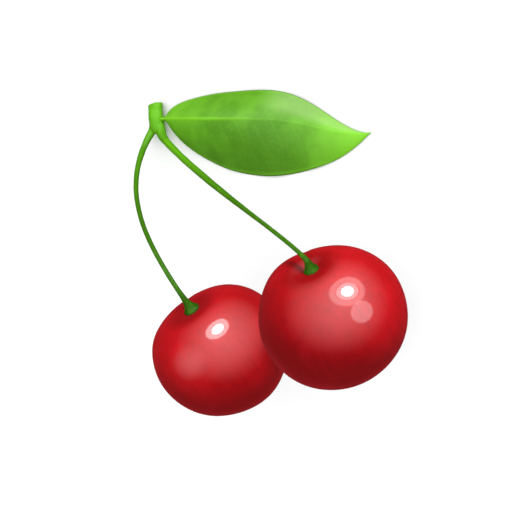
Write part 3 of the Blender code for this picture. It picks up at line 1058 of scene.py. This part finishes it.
# Each fruit has its own key light, so that each shows one clean highlight with its halo.
RIGHT_KEY = from_view(0.21, 0.77, 0.60)
GLINT = from_view(0.62, 0.22, 0.75)
LEFT_KEY = from_view(-0.25, 0.74, 0.62)
LEFT_BODY = from_view(-0.20, 0.60, 0.78)
LEFT_SHEEN = from_view(-0.82, -0.18, 0.54)
LEAF_SHEEN = Vector((-0.45, 0.55, 0.70)).normalized()
RIGHT_LAMPS = (
    Lamp("key_right", RIGHT_KEY, half_angle=10.0, radiance=31.0),
    Lamp("halo_right_inner", RIGHT_KEY, half_angle=17.0, radiance=7.0, gives=GLOSS_ONLY),
    Lamp("halo_right_outer", RIGHT_KEY, half_angle=27.0, radiance=3.0, gives=GLOSS_ONLY),
    Lamp("glint_right", GLINT, half_angle=19.0, radiance=3.4, gives=GLOSS_ONLY),
)
LEFT_LAMPS = (
    Lamp("key_left", LEFT_KEY, half_angle=10.4, radiance=25.0, gives=GLOSS_ONLY),
    Lamp("halo_left", LEFT_KEY, half_angle=19.0, radiance=8.0, gives=GLOSS_ONLY),
    Lamp("body_left", LEFT_BODY, half_angle=16.0, radiance=10.4, gives=DIFFUSE_ONLY),
    Lamp("sheen_left", LEFT_SHEEN, half_angle=38.0, radiance=1.4, gives=GLOSS_ONLY, rim=1.0),
)

# A wide red card behind the fruits, which keeps the gloss of their rims red and not grey.
RIM_LAMPS = (
    Lamp(
        "rim_card",
        from_view(0.0, 0.0, -1.0),
        half_angle=60.0,
        radiance=0.25,
        gives=GLOSS_ONLY,
        rim=0.7,
        colour=(1.0, 0.03, 0.05),
    ),
)
GREEN_LAMPS = (
    Lamp("key_greens", from_view(0.10, 0.66, 0.74), half_angle=16.0, radiance=9.0),
    Lamp("sheen_leaf", LEAF_SHEEN, half_angle=24.0, radiance=2.5, gives=GLOSS_ONLY, rim=1.0),
    Lamp("top_greens", Vector((0.1, 0.0, 1.0)).normalized(), half_angle=45.0, radiance=0.9),
)
FLOOR_LAMPS = (Lamp("top_floor", Vector((0.0, 0.0, 1.0)), half_angle=62.0, radiance=1.12),)


def add_disc_light(lamp, receivers):
    """The lamp's softbox, which lights nothing but its receivers."""
    disc = bpy.data.lights.new(lamp.name, "AREA")
    disc.shape = "DISK"
    radius = LIGHT_DISTANCE * math.tan(math.radians(lamp.half_angle))
    disc.size = 2.0 * radius
    disc.energy = lamp.radiance * math.pi * math.pi * radius * radius
    disc.color = lamp.colour
    light = add_object(lamp.name, disc)
    place = AIM + lamp.direction * LIGHT_DISTANCE
    turn = lamp.direction.to_track_quat("Z", "Y").to_matrix().to_4x4()
    light.matrix_world = Matrix.Translation(place) @ turn
    soften_rim(disc, place, radius, lamp.rim)
    light.visible_camera = False
    light.visible_diffuse, light.visible_glossy = lamp.gives
    lit = bpy.data.collections.new(lamp.name + "_lights")
    for piece in receivers:
        lit.objects.link(piece)
    light.light_linking.receiver_collection = lit


def add_lights(fruits, greens, floor):
    left_fruit, right_fruit = fruits
    groups = (
        (RIGHT_LAMPS, [right_fruit]),
        (LEFT_LAMPS, [left_fruit]),
        (RIM_LAMPS, [right_fruit, left_fruit]),
        (GREEN_LAMPS, greens),
        (FLOOR_LAMPS, [floor]),
    )
    for lamps, receivers in groups:
        for lamp in lamps:
            add_disc_light(lamp, receivers)


def limit_bounces(fruits, greens):
    """Keeps all pieces out of each other's gloss, and the fruits' red off what is round them."""
    for piece in (*fruits, *greens):
        piece.visible_glossy = False
    for fruit in fruits:
        fruit.visible_diffuse = False


def add_floor():
    """White paper just below the fruits, which catches a soft shadow and tints nothing."""
    paper = Shading("floor_paper", Roughness=0.9)
    tone = paper.mix(paper.noise(FLOOR_GRAIN), srgb(246, 246, 246), srgb(250, 250, 250))
    paper.drive("Base Color", tone)
    mesh = bpy.data.meshes.new("floor")
    shape = bmesh.new()
    bmesh.ops.create_grid(shape, x_segments=2, y_segments=2, size=FLOOR_HALF_SIZE)
    shape.to_mesh(mesh)
    shape.free()
    mesh.materials.append(paper.material)
    floor = add_object("floor", mesh)
    floor.location.z = -FLOOR_DROP
    floor.visible_glossy = False
    floor.visible_shadow = False
    floor.visible_diffuse = False
    return floor


GLOW_FACING = from_view(0.06, 0.47, 0.88)
GLOW_STRENGTH = 2.4
GLOW_FALLOFF = 1.6
DIM_GLOSS = 0.012  # what gloss sees away from the glow
SOFT_LIGHT = 0.38  # what everything else is lit by
BACKDROP = 0.97  # what the camera sees behind the floor


def add_world():
    """Soft even light, a white backdrop, and a soft glow above that only reflections show."""
    world = bpy.data.worlds.new("studio")
    graph = Graph(world)
    direction = graph.node("ShaderNodeTexCoord").outputs["Generated"]
    facing = graph.node(
        "ShaderNodeVectorMath", {0: direction, 1: GLOW_FACING}, operation="DOT_PRODUCT"
    )
    positive = graph.math("MAXIMUM", facing.outputs["Value"], 0.0)
    falling = graph.math("POWER", positive, GLOW_FALLOFF)
    glow = graph.stretched(falling, DIM_GLOSS, GLOW_STRENGTH)
    ray = graph.node("ShaderNodeLightPath").outputs
    soft = graph.node("ShaderNodeMix", {0: ray["Is Glossy Ray"], 2: SOFT_LIGHT, 3: glow})
    seen = graph.node("ShaderNodeMix", {0: ray["Is Camera Ray"], 2: soft.outputs[0], 3: BACKDROP})
    background = graph.tree.nodes["Background"]
    background.inputs["Color"].default_value = (1.0, 1.0, 1.0, 1.0)
    graph.feed(background.inputs["Strength"], seen.outputs[0])
    bpy.context.scene.world = world
    bpy.context.scene.view_settings.view_transform = "Standard"


# -------- scene


def main():
    left_middle, left_fruit = add_fruit("left_cherry", LEFT_FRUIT, 3.0, LEFT_SWELLS)
    right_middle, right_fruit = add_fruit("right_cherry", RIGHT_FRUIT, 8.0, RIGHT_SWELLS)
    origin = Vector((left_middle.x, left_middle.y, 0.0))
    fork, cut = spur_points(origin)
    deep_green = stalk_skin("stalk_deep_green", srgb(60, 116, 3), srgb(82, 152, 8))
    bright_green = stalk_skin("stalk_bright_green", srgb(64, 122, 4), srgb(106, 186, 16))
    greens = []
    arms = []
    stalks = (
        ("left_stalk", LEFT_STALK, LEFT_FRUIT, left_middle, -1, 2.0, deep_green),
        ("right_stalk", RIGHT_STALK, RIGHT_FRUIT, right_middle, 1, 5.0, bright_green),
    )
    for node, stalk, fruit, middle, side, seed, green in stalks:
        route, axis, outward = stalk_route(stalk, fruit, middle, side, origin)
        greens.append(add_stalk(node, stalk, route, axis, outward, seed, green))
        arms.append((stalk, route, outward, side))
    greens.append(add_spur(fork, cut, arms, spur_bark("spur_green")))
    faces = [leaf_face("leaf_upper", LEAF_TOP), leaf_face("leaf_under", LEAF_UNDERSIDE)]
    greens.append(add_leaf(fork, cut, faces))
    fruits = (left_fruit, right_fruit)
    limit_bounces(fruits, greens)
    floor = add_floor()
    add_world()
    add_lights(fruits, greens, floor)
    add_camera()


main()
